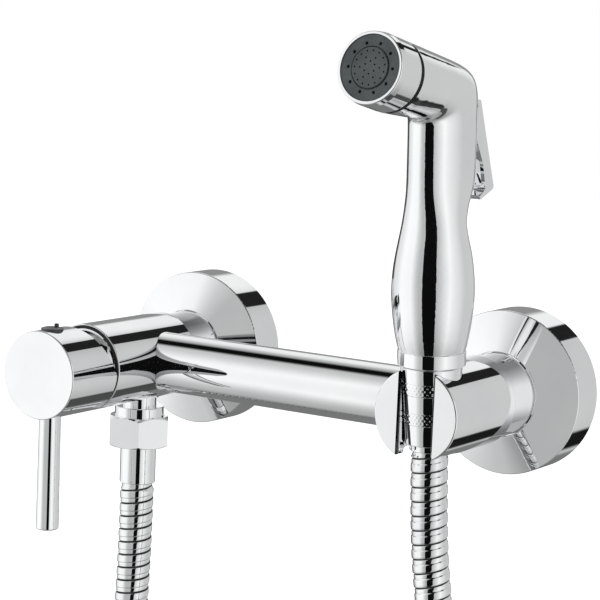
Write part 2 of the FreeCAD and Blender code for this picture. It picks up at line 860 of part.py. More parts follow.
def spray_fitting():
    """Threaded fitting at the foot of the hand spray, with the collar that shows."""
    socket_low = fitting_top - 4.0
    return turned([(fitting_bore_r, spray_thread_end), (wall_thread_r, spray_thread_end, 0.5),
                   (wall_thread_r, collar_bottom), (collar_r, collar_bottom, 0.5), (collar_r, collar_top, 0.3),
                   (fitting_screw_r, collar_top), (fitting_screw_r, collar_top + 6.0),
                   (water_tube_r + 2.2, collar_top + 6.0), (water_tube_r + 2.2, fitting_top),
                   (water_tube_r + fit_gap, fitting_top), (water_tube_r + fit_gap, socket_low),
                   (water_tube_bore_r, socket_low), (water_tube_bore_r, socket_low - 1.0),
                   (fitting_bore_r - 1.0, socket_low - 1.0), (fitting_bore_r, socket_low - 2.0)])


def oval(centre, across, half_width, half_depth):
    """Oval wire, wide along X and deep along the given direction."""
    points = []
    for i in range(oval_points):
        angle = 2 * math.pi * i / oval_points
        points.append(centre + across * (half_depth * math.cos(angle)) + Vector(half_width * math.sin(angle), 0, 0))
    curve = Part.BSplineCurve()
    curve.interpolate(Points=points, PeriodicFlag=True)
    return Part.Wire(curve.toShape())


def spray_solid(inset, back_limit, low, neck_r, neck_end, ruled):
    """Closed form of the grip, elbow and neck, drawn in by an inset and kept short of a limit at the back."""
    wires = []
    lowest = grip_sections[0]
    sections = [s for s in grip_sections if s[0] > low + 0.5]
    sections.insert(0, (low,) + lowest[1:] if low == lowest[0] else (low, 13.1, 13.1, 13.1))
    for height, half_width, front, back in sections:
        front -= inset
        back = min(back, back_limit) - inset
        half_width -= inset
        centre = Vector(0, (back - front) / 2, height)
        wires.append(oval(centre, Vector(0, 1, 0), half_width, (front + back) / 2))
    rise = math.radians(head_rise)
    ahead = Vector(0, -math.cos(rise), math.sin(rise))
    pivot_y = -grip_front - elbow_gap
    pivot_z = head_z - (head_r - neck_lift + elbow_gap + (pivot_y - head_y) * math.sin(rise)) / math.cos(rise)
    pivot = Vector(0, pivot_y, pivot_z)
    to_back = min(grip_top_back, back_limit) - inset - pivot_y
    to_top = 2 * head_r - neck_lift + elbow_gap - inset
    last = 90 - head_rise
    grip_half = grip_sections[-1][1]
    for step in range(elbow_steps + 1):
        angle = last * step / elbow_steps
        turn = math.radians(angle)
        beyond = math.radians(last - angle)
        back_share = (math.cos(turn) / to_back) ** elbow_corner
        top_share = (max(math.cos(beyond), 0.01) / to_top) ** elbow_corner
        outer = (back_share + top_share) ** (-1 / elbow_corner)
        inner = elbow_gap + inset
        out = Vector(0, math.cos(turn), math.sin(turn))
        ease = (1 - math.cos(math.pi * angle / last)) / 2
        half_width = grip_half + (elbow_half_width - grip_half) * ease - inset
        half_depth = (outer - inner) / 2
        wires.append(oval(pivot + out * (inner + half_depth), out, half_width, half_depth))
    out = Vector(0, math.sin(rise), math.cos(rise))
    neck_start = (pivot - Vector(0, head_y, head_z)).dot(ahead)
    head_centre = Vector(0, head_y, head_z)
    for step in range(1, 6):
        along = neck_start + (neck_end - neck_start) * step / 5
        lift = neck_lift * (1 - step / 5)
        half_width = neck_r + (elbow_half_width - inset - neck_r) * (1 - step / 5)
        centre = head_centre + ahead * along + out * (lift / 2)
        wires.append(oval(centre, out, half_width, neck_r - lift / 2))
    return Part.makeLoft(wires, True, ruled)


def spray_shell():
    """Chrome grip and elbow in one shell, with the trigger's bed, the hinge lug and the valve's pocket."""
    base = grip_sections[0][0]
    outside = spray_solid(0.0, grip_top_back, base, head_r, shell_end, False)
    inside = spray_solid(shell_wall, bed_back, base + shell_floor, head_r - shell_wall - 0.7, shell_end - 2, True)
    bed = block(-bed_half_width, bed_half_width, bed_back, bed_back + 20, bed_bottom, bed_top)
    bed = bed.makeFillet(3.0, [edge for edge in bed.Edges if edge_is_along(edge, 0) and
                               edge.BoundBox.YMax < bed_back + 1])
    lug_half = trigger_width / 2 - trigger_flank - seat_gap
    lug = cross_rod(lug_r, -lug_half, lug_half, hinge_y, hinge_z)
    foot = block(-lug_half, lug_half, bed_back - 1.0, hinge_y, hinge_z - lug_r, hinge_z + lug_r)
    valve_pocket = on_valve(rod(valve_r + fit_gap, valve_front - fit_gap, valve_back + fit_gap))
    gland_hole = on_valve(rod(gland_r + fit_gap, valve_back, bed_back + 5))
    screw_hole = rod(fitting_screw_r + fit_gap, base - 1, base + shell_floor + 5)
    pin_hole = cross_rod(hinge_pin_r, -trigger_width, trigger_width, hinge_y, hinge_z)
    neck_bore = on_head(rod(head_r - shell_wall, nose_back - seat_gap, shell_end + 1))
    shell = outside.cut([inside, bed])
    shell = shell.fuse([lug, foot])
    return shell.cut([valve_pocket, gland_hole, screw_hole, pin_hole, neck_bore])


def edge_is_along(edge, axis):
    """True for a straight edge along one axis, 0 for X, 1 for Y, 2 for Z."""
    box = edge.BoundBox
    sizes = (box.XLength, box.YLength, box.ZLength)
    return sizes[axis] > 0.9 * edge.Length


def water_tube():
    """Tube up the grip from the fitting to the trigger valve."""
    low = fitting_top - 4.0
    high = valve_z - valve_socket_reach
    tube = rod(water_tube_r, low, high).cut(rod(water_tube_bore_r, low - 1, high + 1))
    return tube


def valve_housing():
    """Trigger valve across the grip, with a stub for the water tube and one for the duct."""
    barrel = rod(valve_r, valve_front, valve_back)
    inlet_stub = rod(valve_stub_r, -valve_stub_reach, 0)
    duct_stub = rod(valve_stub_r, 0, valve_stub_reach, 0, duct_y)
    stubs = placed(inlet_stub.fuse(duct_stub), turn=90)
    bore = rod(valve_bore_r, valve_front + valve_end_wall, valve_back + 1)
    inlet = rod(water_tube_bore_r - 0.3, -valve_stub_reach - 1, 0)
    inlet_socket = rod(water_tube_r + fit_gap, -valve_stub_reach - 1, -valve_socket_reach)
    duct = rod(duct_bore_r - 0.8, 0, valve_stub_reach + 1, 0, duct_y)
    duct_socket = rod(duct_r + fit_gap, valve_socket_reach, valve_stub_reach + 1, 0, duct_y)
    ways = placed(Part.Compound([inlet, inlet_socket, duct, duct_socket]), turn=90)
    return on_valve(barrel.fuse(stubs).cut([bore] + ways.Solids))


def valve_spool():
    """Spool with two lands and the stem that the trigger pushes."""
    land_r = valve_bore_r - running_gap
    groove_r = land_r - 0.9
    front_mid = spool_front + spool_land / 2
    rear_mid = (spool_rear_land + spool_end) / 2
    half = seal_width / 2
    points = [(0, spool_front), (land_r, spool_front), (land_r, front_mid - half), (groove_r, front_mid - half),
              (groove_r, front_mid + half), (land_r, front_mid + half), (land_r, spool_front + spool_land),
              (spool_waist_r, spool_front + spool_land), (spool_waist_r, spool_rear_land),
              (land_r, spool_rear_land), (land_r, rear_mid - half), (groove_r, rear_mid - half),
              (groove_r, rear_mid + half), (land_r, rear_mid + half), (land_r, spool_end),
              (stem_r, spool_end), (stem_r, stem_tip, 0.7), (0, stem_tip)]
    return on_valve(turned(points))


def spool_seals():
    """Two seals in the grooves of the spool."""
    groove_r = valve_bore_r - running_gap - 0.9
    mids = (spool_front + spool_land / 2, (spool_rear_land + spool_end) / 2)
    half = seal_width / 2
    return on_valve(Part.Compound([ring(groove_r, valve_bore_r - 0.02, mid - half, mid + half) for mid in mids]))


def valve_spring():
    """Coil spring that pushes the spool back towards the trigger."""
    low = valve_front + valve_end_wall + spring_wire_r
    high = spool_front - spring_wire_r
    middle_r = spring_r - spring_wire_r
    climb = (high - low) / (2 * math.pi * spring_turns * middle_r)
    steps = 20 * spring_turns
    wires = []
    for i in range(steps + 1):
        angle = 2 * math.pi * spring_turns * i / steps
        centre = Vector(middle_r * math.cos(angle), middle_r * math.sin(angle), low + (high - low) * i / steps)
        tangent = Vector(-math.sin(angle), math.cos(angle), climb).normalize()
        side = Vector(math.cos(angle), math.sin(angle), 0)
        wires.append(circle_at(centre, tangent, side, spring_wire_r))
    return on_valve(Part.makeLoft(wires, True, True))


def gland_nut():
    """Nut that closes the valve and guides the stem."""
    hole_r = stem_r + fit_gap
    nut = turned([(hole_r, valve_back), (gland_r, valve_back), (gland_r, gland_back, 0.4), (hole_r, gland_back)])
    return on_valve(nut)


def head_duct():
    """Tube from the trigger valve round the elbow to the head."""
    rise = math.radians(head_rise)
    ahead = Vector(0, -math.cos(rise), math.sin(rise))
    head_centre = Vector(0, head_y, head_z)
    start = Vector(0, duct_y, valve_z + valve_socket_reach)
    corner = Vector(0, duct_y, head_z - (duct_y - head_y) * math.tan(rise))
    end = head_centre + ahead * (nose_back + 2)
    up = Vector(0, 0, 1)
    reach = duct_bend_r * math.tan(math.radians(90 - head_rise) / 2)
    bend_start = corner - up * reach
    bend_end = corner + ahead * reach
    centre = bend_start + Vector(0, -duct_bend_r, 0)
    middle = centre + (corner - centre).normalize() * duct_bend_r
    path = Part.Wire([Part.makeLine(start, bend_start), Part.Arc(bend_start, middle, bend_end).toShape(),
                      Part.makeLine(bend_end, end)])
    outside = path.makePipeShell([Part.Wire(Part.makeCircle(duct_r, start, up))], True, False)
    inside = path.makePipeShell([Part.Wire(Part.makeCircle(duct_bore_r, start, up))], True, False)
    return outside.cut(inside)


def nose_plug():
    """Plug in the neck that holds the duct and carries the head barrel."""
    shell_bore = head_r - shell_wall - fit_gap
    barrel_bore = head_r - barrel_wall - fit_gap
    step = shell_end + joint_ring
    plug = turned([(duct_r + fit_gap, nose_back), (shell_bore, nose_back), (shell_bore, step),
                   (barrel_bore, step), (barrel_bore, nose_front), (barrel_bore - 2, nose_front),
                   (duct_bore_r, nose_back + 3), (duct_bore_r, nose_back + 2), (duct_r + fit_gap, nose_back + 2)])
    return on_head(plug)


def joint_ring_seal():
    """Black ring between the neck and the head barrel."""
    inner = head_r - shell_wall
    return on_head(ring(inner, joint_ring_r, shell_end, shell_end + joint_ring))


def head_barrel():
    """Chrome barrel of the head, with a thin lip round the spray plate."""
    low = shell_end + joint_ring
    bore = head_r - barrel_wall
    barrel = turned([(bore, low), (head_r, low, 0.3), (head_r, barrel_front - 3), (barrel_front_r, barrel_front, 0.4),
                     (barrel_lip_r, barrel_front), (barrel_lip_r, plate_back), (bore, plate_back)])
    return on_head(barrel)


def jet_holes(low, high, extra):
    """The jets of the spray plate as one set of pins."""
    pins = []
    for (radius, first, hole_r), count in zip(jet_rings, jet_counts):
        for i in range(count):
            angle = math.radians(first + 360 * i / count)
            pins.append(rod(hole_r + extra, low, high, radius * math.sin(angle), radius * math.cos(angle)))
    return Part.Compound(pins)


def spray_plate():
    """Dark soft face of the head with its rings of jets and a raised middle in a groove."""
    plate = rod(plate_r, plate_back, plate_front)
    middle = rod(plate_disc_r, plate_back, plate_front + plate_disc_rise)
    groove = ring(plate_disc_r, plate_disc_r + plate_groove, plate_front - plate_groove_depth, plate_front + 1)
    plate = plate.fuse(middle).removeSplitter().cut(groove)
    return on_head(plate.cut(jet_holes(plate_back - 1, plate_front + 2, 0.0)))


def flow_plate():
    """Pierced plate behind the spray plate that spreads the water."""
    bore = head_r - barrel_wall - fit_gap
    plate = turned([(0, flow_plate_back), (bore, flow_plate_back), (bore, plate_back), (bore - 1.5, plate_back),
                    (bore - 1.5, flow_plate_front), (0, flow_plate_front)])
    return on_head(plate.cut(hole_grid(0.8, 3.2, 8.5, flow_plate_back - 1, flow_plate_front + 1)))


def trigger_line(height):
    """Reach back of the trigger's outer line at a height."""
    slope = (trigger_tip[0] - trigger_top[0]) / (trigger_tip[1] - trigger_top[1])
    return trigger_top[0] + (height - trigger_top[1]) * slope


def trigger():
    """Channel-shaped lever behind the grip: back plate, two flanks and a lip at the bottom."""
    tip_y, tip_z = trigger_tip
    half = trigger_width / 2
    ear_front = hinge_y - 1.2
    side = outline([(trigger_top[0], trigger_top[1], 1.2), (tip_y, tip_z, 1.2),
                    (tip_y - 10.4, tip_z - 3.5, 0.6), (tip_y - 10.9, tip_z - 2.0, 0.4), (tip_y - 6.6, tip_z + 0.1, 1.2),
                    (tip_y - 8.6, tip_z + 9.2, 4.0), (hinge_y + 0.3, hinge_z - 12.0, 4.0),
                    (ear_front, hinge_z - 2.4, 0.8), (ear_front, trigger_top[1] + 0.6, 1.0)])
    profile = Part.Face(side)
    profile.rotate(Vector(0, 0, 0), Vector(0, 0, 1), 90)
    profile.translate(Vector(half, 0, 0))
    body = profile.extrude(Vector(-trigger_width, 0, 0))
    depth = trigger_plate / math.cos(math.atan((tip_y - trigger_top[0]) / (trigger_top[1] - tip_z)))
    room_low = tip_z + 1.6
    room_high = trigger_top[1] + 3
    corners = [(5.0, room_low), (trigger_line(room_low) - depth, room_low),
               (trigger_line(room_high) - depth, room_high), (5.0, room_high)]
    inner_half = half - trigger_flank
    wire = Part.makePolygon([Vector(inner_half, y, z) for y, z in corners + corners[:1]])
    channel = Part.Face(wire).extrude(Vector(-2 * inner_half, 0, 0))
    pin_hole = cross_rod(hinge_pin_r + fit_gap, -half - 1, half + 1, hinge_y, hinge_z)
    return body.cut([channel, pin_hole])


def trigger_pin():
    """Hinge pin of the trigger."""
    reach = trigger_width / 2 - 0.1
    return cross_rod(hinge_pin_r - 0.01, -reach, reach, hinge_y, hinge_z)


def build():
    """Every node by name."""
    nodes = {}
    for side, x in sides.items():
        nodes["inlet_union_" + side] = on_leg(inlet_union(), x)
        nodes["wall_flange_" + side] = on_leg(wall_flange(), x)
        nodes["union_nut_" + side] = on_leg(union_nut(), x)
        nodes["inlet_tail_" + side] = on_leg(inlet_tail(), x)
    nodes["union_washers"] = Part.Compound([on_leg(union_washer(), x) for x in sides.values()])
    nodes["inlet_strainers"] = Part.Compound([on_leg(strainer(), x) for x in sides.values()])
    nodes["valve_body"] = on_leg(valve_body(), left_x)
    nodes["holder_leg"] = on_leg(holder_leg(), right_x)
    nodes["cross_bar"] = cross_bar()
    on_left_leg = {
        "cartridge_base": cartridge_base, "port_seals": port_seals, "fixed_disc": fixed_disc,
        "moving_disc": moving_disc, "disc_carrier": disc_carrier, "cartridge_housing": cartridge_housing,
        "rotating_guide": rotating_guide, "guide_pin": guide_pin, "spindle": spindle,
        "cartridge_nut": cartridge_nut, "dome_cap": dome_cap, "gap_ring": gap_ring,
        "handle_hub": handle_hub, "lever_rod": lever_rod, "grub_screw": grub_screw, "index_plug": index_plug,
    }
    for name, make in on_left_leg.items():
        nodes[name] = on_leg(make(), left_x)
    tail_start = nipple_end + hose_washer
    nodes["outlet_nipple"] = below_outlet(outlet_nipple())
    nodes["hose_nut"] = below_outlet(hose_nut())
    nodes["outlet_washer"] = below_outlet(outlet_washer())
    nodes["hose_tail_outlet"] = below_outlet(
        barbed_tail(tail_flange_r, tail_start, tail_start + tail_flange, ferrule_end))
    nodes["hose_ferrule_outlet"] = below_outlet(
        ring(barb_r + fit_gap, ferrule_r, tail_start + tail_flange, ferrule_end, 0.4))
    nodes["shower_hose"] = shower_hose()
    on_seat_axis = {
        "cone_nut": cone_nut, "cone_washer": cone_washer, "hose_tail_cone": cone_tail,
        "hose_ferrule_cone": cone_ferrule, "spray_fitting": spray_fitting, "spray_shell": spray_shell,
        "water_tube": water_tube, "valve_housing": valve_housing,
        "valve_spool": valve_spool, "spool_seals": spool_seals, "valve_spring": valve_spring,
        "gland_nut": gland_nut, "head_duct": head_duct, "nose_plug": nose_plug,
        "joint_ring": joint_ring_seal, "head_barrel": head_barrel, "spray_plate": spray_plate,
        "flow_plate": flow_plate, "trigger": trigger, "trigger_pin": trigger_pin,
    }
    for name, make in on_seat_axis.items():
        nodes[name] = on_seat(make())
    return nodes


os.makedirs("parts", exist_ok=True)
for node, shape in build().items():
    shape.exportStep("parts/" + node + ".step")
    print(node, len(shape.Solids), "solids, valid", shape.isValid(), "volume", round(shape.Volume, 1))
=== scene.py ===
import json
import math

import bmesh
import bpy
from mathutils import Matrix, Vector


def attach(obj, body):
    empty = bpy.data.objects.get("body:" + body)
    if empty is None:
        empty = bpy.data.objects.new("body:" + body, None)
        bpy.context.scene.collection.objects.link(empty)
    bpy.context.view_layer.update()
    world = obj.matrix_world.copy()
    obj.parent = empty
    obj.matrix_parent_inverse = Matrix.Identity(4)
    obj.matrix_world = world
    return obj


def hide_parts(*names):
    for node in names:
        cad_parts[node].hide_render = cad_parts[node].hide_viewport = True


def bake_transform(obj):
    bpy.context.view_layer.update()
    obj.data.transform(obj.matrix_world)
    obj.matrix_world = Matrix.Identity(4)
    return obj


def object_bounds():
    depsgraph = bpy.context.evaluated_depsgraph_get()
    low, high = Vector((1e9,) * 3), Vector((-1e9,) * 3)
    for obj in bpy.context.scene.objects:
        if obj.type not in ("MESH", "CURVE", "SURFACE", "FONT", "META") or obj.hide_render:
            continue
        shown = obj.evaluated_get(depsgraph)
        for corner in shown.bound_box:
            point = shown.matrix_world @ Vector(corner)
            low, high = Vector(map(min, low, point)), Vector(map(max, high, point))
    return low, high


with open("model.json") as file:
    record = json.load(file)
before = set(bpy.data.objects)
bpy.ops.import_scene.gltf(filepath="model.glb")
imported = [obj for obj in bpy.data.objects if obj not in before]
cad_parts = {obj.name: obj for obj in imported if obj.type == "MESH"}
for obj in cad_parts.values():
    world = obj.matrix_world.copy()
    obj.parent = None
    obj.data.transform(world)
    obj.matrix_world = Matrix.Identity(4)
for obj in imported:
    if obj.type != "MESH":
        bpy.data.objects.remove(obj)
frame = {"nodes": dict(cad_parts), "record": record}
cad_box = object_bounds()
bpy.context.scene.view_settings.view_transform = "Standard"

# Bidet shower mixer, in metres. X runs along the cross bar, Y into the wall, Z up.

# Camera
camera_place = (0.46043, -0.75859, 0.1438)
camera_azimuth = 33.02
camera_fall = 7.56
camera_roll = 2.36
camera_lens = 129.0
camera_sensor = 36.0
camera_clip = (0.01, 50.0)

# Hose: a wound band, plain at both ends, along a route from the outlet to the cone nut
hose_root_r = 0.00625
hose_crest_r = 0.00700
hose_strip_drop = 0.0003
hose_pitch = 0.0055
hose_sides = 44
hose_plain_end = 0.0016
hose_band_start = 0.0012
hose_line_steps = 64
hose_merge = 0.00001
hose_route = [
    (-0.0750, -0.0540, -0.0527),
    (-0.0750, -0.0540, -0.0900),
    (-0.0780, -0.0555, -0.1520),
    (-0.0860, -0.0580, -0.2420),
    (-0.0920, -0.0605, -0.3350),
    (-0.0840, -0.0620, -0.4020),
    (-0.0470, -0.0635, -0.4430),
    (0.0060, -0.0645, -0.4550),
    (0.0580, -0.0650, -0.4370),
    (0.0890, -0.0655, -0.3910),
    (0.0965, -0.0660, -0.3180),
    (0.0930, -0.0665, -0.2220),
    (0.0854, -0.0675, -0.1300),
    (0.0784, -0.0695, -0.0760),
    (0.0750, -0.071135, -0.046223),
    (0.0750, -0.072977, -0.014276),
]

# Seat of the hand spray: its axis, and the cone nut's radii at two levels on it
seat_x = 0.075
seat_y = -0.0738
seat_lean = math.radians(3.3)
seat_levels = (-0.0115, 0.0177)
seat_radii = (0.00975, 0.0115)

# Front slot of the holder: half its width, and between which depths and distances outside
# its walls the painted shade on the slot walls fades
slot_half = 0.00775
slot_fade = (-0.0832, -0.0822)
slot_skin = (0.00002, 0.00006)

# Knurled bands on the cone nut: staggered pyramids on a smooth land
knurl_levels = (0.0098, -0.0013)
knurl_height = 0.0046
knurl_rise = 0.00020
knurl_land = 0.5
knurl_columns = 46
knurl_rows = 2
knurl_splits = 8
knurl_skin = 0.00004
knurl_inset = 0.0001

# Valve spring, on the axis of the trigger valve
valve_height = 0.092
spring_ends = (-0.0076, -0.0029)
spring_r = 0.0031
spring_wire_r = 0.0003
spring_turns = 3
spring_steps = 32
spring_sides = 10

# Studio brightness round the horizon: degrees from the front, positive to the right, and level
studio_levels = (
    (-180, 0.60), (-90, 0.85), (-70, 1.05), (-35, 1.0), (-20, 0.65), (-10, 0.5), (40, 0.5),
    (60, 0.75), (78, 1.0), (92, 0.87), (110, 0.75), (130, 0.6), (180, 0.6),
)

# Round fields in the studio: direction, where they begin and are full, and level
bright_wall = ((-0.45, 0.80, 0.40), (0.78, 0.96), 0.90)
backdrop = ((-0.540, 0.831, -0.132), (0.84, 0.90), 0.28)

# Dark slanting beam: for each edge, two straight runs as (slope, start)
beam_left = ((0.566, -0.365), (0.253, -0.174))
beam_right = ((1.71, -0.670), (0.684, -0.108))
beam_edge = (-0.02, 0.015)
beam_level = 0.015

# Dark gap overhead
gap_level = 0.004

# Cards that face the wall: depth, brightness, and fields as (left, right, bottom, top)
black_card = (-0.37, 0.004, ((0.075, 0.31, -0.60, 0.60),))
grey_card = (-0.050, 0.46, (
    (0.0925, 0.128, -0.090, 0.062),
    (0.0865, 0.0925, 0.0176, 0.062),
    (0.0865, 0.0925, -0.090, -0.0176),
))

# Floor and lamp
floor_half = 6.0
floor_drop = 0.01
floor_glow = 0.25
lamp_place = (-0.9, -1.3, 1.2)
lamp_aim = (0.0, -0.08, -0.05)
lamp_size = 0.9
lamp_power = 9.0


def make_camera():
    """Camera at the photograph's place and angle."""
    azimuth = math.radians(camera_azimuth)
    fall = math.radians(camera_fall)
    roll = math.radians(camera_roll)
    level = math.cos(fall)
    look = Vector((-math.sin(azimuth) * level, math.cos(azimuth) * level, -math.sin(fall)))
    right = Vector((math.cos(azimuth), math.sin(azimuth), 0))
    up = right.cross(look)
    across = math.cos(roll) * right + math.sin(roll) * up
    above = -math.sin(roll) * right + math.cos(roll) * up
    data = bpy.data.cameras.new("camera")
    data.lens = camera_lens
    data.sensor_width = camera_sensor
    data.clip_start, data.clip_end = camera_clip
    camera = bpy.data.objects.new("camera", data)
    turn = Matrix((across, above, -look)).transposed()
    camera.matrix_world = Matrix.Translation(camera_place) @ turn.to_4x4()
    bpy.context.collection.objects.link(camera)
    bpy.context.scene.camera = camera


def add_mesh(name, vertices, faces):
    """New smooth object from plain vertex and face lists."""
    mesh = bpy.data.meshes.new(name)
    mesh.from_pydata(vertices, [], faces)
    mesh.update()
    mesh.shade_smooth()
    thing = bpy.data.objects.new(name, mesh)
    bpy.context.collection.objects.link(thing)
    return thing


# Hose

def hose_line():
    """Points along the route's smooth spline, close together, from the outlet to the cone nut."""
    curve = bpy.data.curves.new("hose_line", "CURVE")
    curve.dimensions = "3D"
    spline = curve.splines.new("NURBS")
    spline.points.add(len(hose_route) - 1)
    for point, place in zip(spline.points, hose_route):
        point.co = (*place, 1.0)
    spline.order_u = 3
    spline.use_endpoint_u = True
    curve.resolution_u = hose_line_steps
    thing = bpy.data.objects.new("hose_line", curve)
    bpy.context.collection.objects.link(thing)
    mesh = bpy.data.meshes.new_from_object(thing)
    points = [v.co.copy() for v in mesh.vertices]
    bpy.data.objects.remove(thing)
    bpy.data.curves.remove(curve)
    bpy.data.meshes.remove(mesh)
    return points


class Line:
    """A polyline that can be read at any distance, with a frame that doesn't twist."""

    def __init__(self, points):
        self.points = points
        self.tangents = []
        for i in range(len(points)):
            before = points[max(i - 1, 0)]
            after = points[min(i + 1, len(points) - 1)]
            self.tangents.append((after - before).normalized())
        side = Vector((0, 1, 0))
        self.sides = []
        for tangent in self.tangents:
            side = (side - tangent * side.dot(tangent)).normalized()
            self.sides.append(side)
        self.reach = [0.0]
        for a, b in zip(points, points[1:]):
            self.reach.append(self.reach[-1] + (b - a).length)
        self.length = self.reach[-1]
        self.spot = 0

    def at(self, distance):
        """Place, side and third direction at a distance."""
        distance = min(max(distance, 0.0), self.length)
        i = self.spot
        while i > 0 and self.reach[i] > distance:
            i -= 1
        while i < len(self.points) - 2 and self.reach[i + 1] < distance:
            i += 1
        self.spot = i
        share = (distance - self.reach[i]) / max(self.reach[i + 1] - self.reach[i], 1e-12)
        place = self.points[i].lerp(self.points[i + 1], share)
        tangent = self.tangents[i].lerp(self.tangents[i + 1], share).normalized()
        side = self.sides[i].lerp(self.sides[i + 1], share)
        side = (side - tangent * side.dot(tangent)).normalized()
        return place, side, tangent.cross(side)


def hose_profile():
    """One turn of the band as (share of the pitch, radius, dark): the joint, a crest and a lower strip;
    dark marks the joint's faces, which get painted shade.
    """
    crest = hose_crest_r
    strip = crest - hose_strip_drop
    root = hose_root_r
    return [
        (0.000, root, True), (0.060, root, True), (0.080, crest - 0.00012, False),
        (0.110, crest - 0.00002, False), (0.220, crest, False), (0.420, crest + 0.00001, False),
        (0.570, crest - 0.00001, False), (0.615, crest - 0.00005, False),
        (0.640, strip - 0.00006, False), (0.680, strip, False), (0.800, strip, False),
        (0.930, strip - 0.00002, False), (0.965, strip - 0.00008, True),
    ]


def make_hose():
    """Hose of one interlocked metal band wound along the route."""
    line = Line(hose_line())
    profile = hose_profile()
    per_turn = len(profile)
    turns = int(line.length / hose_pitch) + 1
    vertices = []
    faces = []
    rings = []
    shades = []
    for turn in range(-1, turns + 1):
        for share, radius, dark in profile:
            ring = []
            for k in range(hose_sides):
                distance = (turn + share + k / hose_sides) * hose_pitch
                place, side, third = line.at(distance)
                ends = min(distance - hose_plain_end, line.length - hose_plain_end - distance)
                rise = min(max(ends / hose_band_start, 0.0), 1.0)
                r = hose_root_r + (radius - hose_root_r) * rise
                angle = 2 * math.pi * k / hose_sides
                ring.append(len(vertices))
                vertices.append(place + side * (r * math.cos(angle)) + third * (r * math.sin(angle)))
            rings.append(ring)
            shades.append(dark)
    groove_shade = []
    for i in range(len(rings) - 1):
        for k in range(hose_sides - 1):
            faces.append((rings[i][k], rings[i][k + 1], rings[i + 1][k + 1], rings[i + 1][k]))
            groove_shade.append(shades[i])
    last = hose_sides - 1
    for i in range(len(rings) - per_turn - 1):
        j = i + per_turn
        faces.append((rings[i][last], rings[j][0], rings[j + 1][0], rings[i + 1][last]))
        groove_shade.append(shades[i])
    hose = add_mesh("metal_hose", vertices, faces)
    for face, joint in zip(hose.data.polygons, groove_shade):
        face.material_index = int(joint)  # 0 the band, 1 painted shade in its joint
    tidy = bmesh.new()
    tidy.from_mesh(hose.data)
    bmesh.ops.remove_doubles(tidy, verts=tidy.verts, dist=hose_merge)
    bmesh.ops.dissolve_degenerate(tidy, edges=tidy.edges, dist=hose_merge / 2)
    rims = [edge for edge in tidy.edges if edge.is_boundary]
    bmesh.ops.holes_fill(tidy, edges=rims, sides=0)
    bmesh.ops.recalc_face_normals(tidy, faces=tidy.faces)
    tidy.to_mesh(hose.data)
    tidy.free()
    hose.data.shade_smooth()
    return hose, [tuple(p) for p in line.points]


make_camera()
hose, hose_path = make_hose()


# Points about the seat's axis, and the knurling

def seat_point(x, y, height):
    """Point beside the leaning axis of the hand spray."""
    return (seat_x + x, seat_y + y * math.cos(seat_lean) - height * math.sin(seat_lean),
            y * math.sin(seat_lean) + height * math.cos(seat_lean))


def on_seat(radius, angle, height):
    """Point at a radius, angle and height about the leaning axis of the hand spray."""
    return seat_point(radius * math.cos(angle), radius * math.sin(angle), height)


def nut_radius(height):
    """Radius of the cone nut at a height on the seat's axis."""
    slope = (seat_radii[1] - seat_radii[0]) / (seat_levels[1] - seat_levels[0])
    return seat_radii[0] + (height - seat_levels[0]) * slope


def pyramid(turn, row):
    """Height of the knurling above its land, at a place counted in columns and rows."""
    one = abs((turn + row) % 1 * 2 - 1)
    two = abs((turn - row) % 1 * 2 - 1)
    return max(min(one, two) - knurl_land, 0.0) * knurl_rise


def make_knurl(name, level):
    """Closed sleeve round the cone nut whose outside is a net of small pyramids."""
    around = knurl_columns * knurl_splits
    high = 2 * knurl_rows * knurl_splits
    angles = [2 * math.pi * i / around for i in range(around)]
    vertices = []
    for j in range(high + 1):
        up = j / high
        height = level + (up - 0.5) * knurl_height
        base = nut_radius(height) + knurl_skin
        for i, angle in enumerate(angles):
            peak = pyramid(i / knurl_splits, up * knurl_rows) if 0 < j < high else 0.0
            vertices.append(on_seat(base + peak, angle, height))
    inner = len(vertices)
    for up in (0.0, 1.0):
        height = level + (up - 0.5) * knurl_height
        vertices += [on_seat(nut_radius(height) - knurl_inset, angle, height) for angle in angles]
    faces = []
    rings = [j * around for j in range(high + 1)] + [inner + around, inner, 0]
    for low, top in zip(rings, rings[1:]):
        for i in range(around):
            k = (i + 1) % around
            faces.append((low + i, low + k, top + k, top + i))
    band = add_mesh(name, vertices, faces)
    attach(band, "hand_spray")
    return band


knurls = [make_knurl(name, level) for name, level in zip(("knurl_upper", "knurl_lower"), knurl_levels)]


# Valve spring

def make_spring():
    """Coil spring of the trigger valve, built as a fixed mesh at one length; the real spring shortens as
    the spool moves in.
    """
    low, high = spring_ends
    steps = spring_turns * spring_steps
    climb = (high - low) / (2 * math.pi * spring_turns * spring_r)
    vertices = []
    for i in range(steps + 1):
        angle = 2 * math.pi * i / spring_steps
        out = Vector((math.cos(angle), math.sin(angle), 0))
        along = Vector((-math.sin(angle), math.cos(angle), climb))
        third = out.cross(along.normalized())
        centre = out * spring_r + Vector((0, 0, low + (high - low) * i / steps))
        for k in range(spring_sides):
            turn = 2 * math.pi * k / spring_sides
            aside = spring_wire_r * math.cos(turn)
            above = spring_wire_r * math.sin(turn)
            spot = centre + out * aside + third * above
            vertices.append(seat_point(spot.x, spot.z, valve_height - spot.y))
    last = steps * spring_sides
    faces = [tuple(range(spring_sides)), tuple(range(last, last + spring_sides))[::-1]]
    for i in range(steps):
        for k in range(spring_sides):
            a = i * spring_sides + k
            b = i * spring_sides + (k + 1) % spring_sides
            faces.append((a, a + spring_sides, b + spring_sides, b))
    spring = add_mesh("coil_spring", vertices, faces)
    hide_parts("valve_spring")
    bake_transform(spring)
    return spring


spring = make_spring()


# Materials

